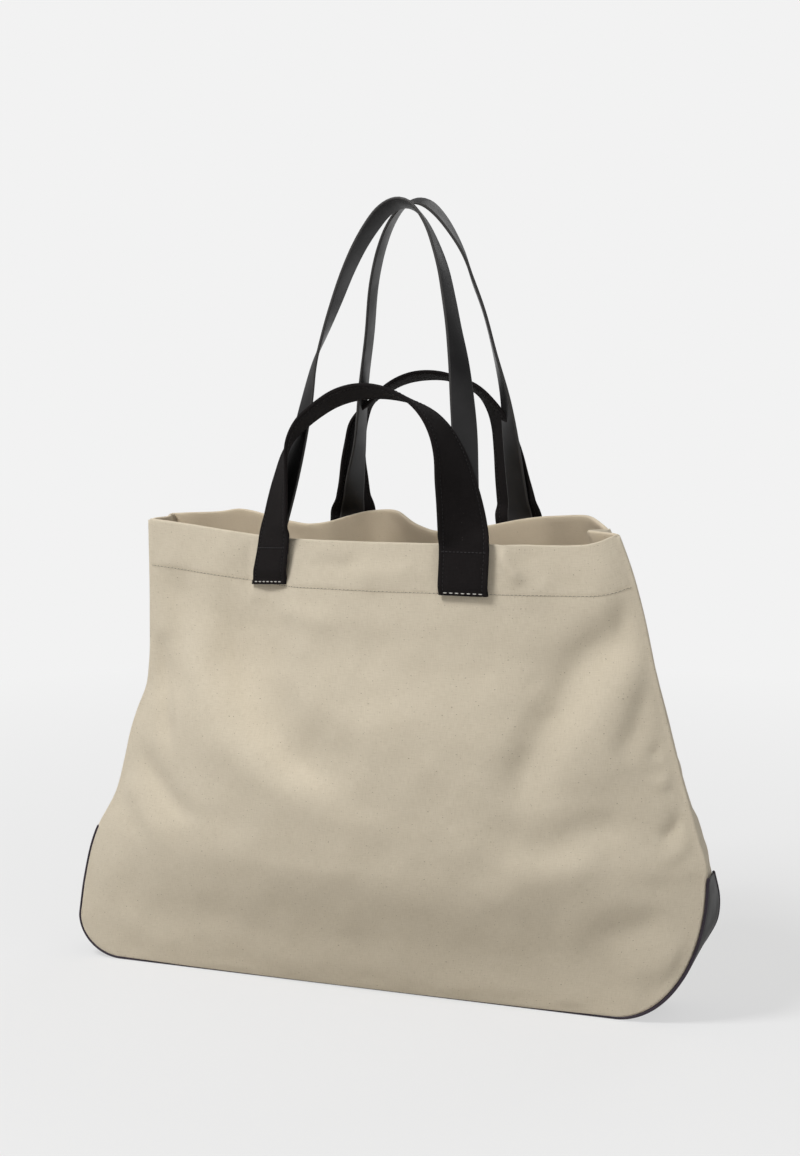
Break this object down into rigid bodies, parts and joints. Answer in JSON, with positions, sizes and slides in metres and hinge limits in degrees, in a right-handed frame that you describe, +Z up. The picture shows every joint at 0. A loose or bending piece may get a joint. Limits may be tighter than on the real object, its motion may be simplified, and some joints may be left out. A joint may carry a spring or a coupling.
{
  "type": "shopper bag",
  "caption": "Large open canvas shopper with a narrow leather base strip, short webbing handles and long leather shoulder straps.",
  "frame": {"origin": "middle of the underside of the base strip", "axes": "+Z up, +X along the mouth to the bag's right as seen from the front, +Y from the front panel to the back panel"},
  "size_m": [0.552, 0.177, 0.647],
  "materials": {
    "canvas": "natural plain-woven canvas with fine flecks, matte",
    "base_leather": "smooth black leather, satin",
    "piping_leather": "thin black leather cord, satin",
    "webbing": "black folded canvas webbing, matte, stitched along its edges",
    "strap_leather": "smooth black leather, satin, with lighter cut edges",
    "hem_thread": "matte beige sewing thread",
    "end_thread": "matte white sewing thread"
  },
  "bodies": {
    "bag": {"front_panel": "canvas", "back_panel": "canvas", "left_gusset": "canvas", "right_gusset": "canvas", "base_strip": "base_leather", "front_piping": "piping_leather", "back_piping": "piping_leather", "front_hem_thread": "hem_thread", "back_hem_thread": "hem_thread", "left_hem_thread": "hem_thread", "right_hem_thread": "hem_thread", "front_handle_left_end": "webbing", "front_handle_right_end": "webbing", "back_handle_left_end": "webbing", "back_handle_right_end": "webbing", "front_strap_left_end": "strap_leather", "front_strap_right_end": "strap_leather", "back_strap_left_end": "strap_leather", "back_strap_right_end": "strap_leather", "front_left_end_thread": "end_thread", "front_right_end_thread": "end_thread", "back_left_end_thread": "end_thread", "back_right_end_thread": "end_thread"},
    "front_long_strap": {"front_strap": "strap_leather"},
    "back_long_strap": {"back_strap": "strap_leather"},
    "front_short_handle": {"front_handle": "webbing"},
    "back_short_handle": {"back_handle": "webbing"}
  },
  "joints": [
    {"name": "front_strap_fold", "type": "hinge", "parent": "bag", "child": "front_long_strap", "pos_m": [0, -0.0712, 0.3775], "axis": [1, 0, 0], "range_deg": [0, 60]},
    {"name": "front_handle_fold", "type": "hinge", "parent": "front_long_strap", "child": "front_short_handle", "pos_m": [0, -0.0712, 0.3775], "axis": [1, 0, 0], "range_deg": [0, 105]},
    {"name": "back_strap_fold", "type": "hinge", "parent": "bag", "child": "back_long_strap", "pos_m": [0, 0.0712, 0.3775], "axis": [-1, 0, 0], "range_deg": [0, 60]},
    {"name": "back_handle_fold", "type": "hinge", "parent": "back_long_strap", "child": "back_short_handle", "pos_m": [0, 0.0712, 0.3775], "axis": [-1, 0, 0], "range_deg": [0, 105]}
  ]
}
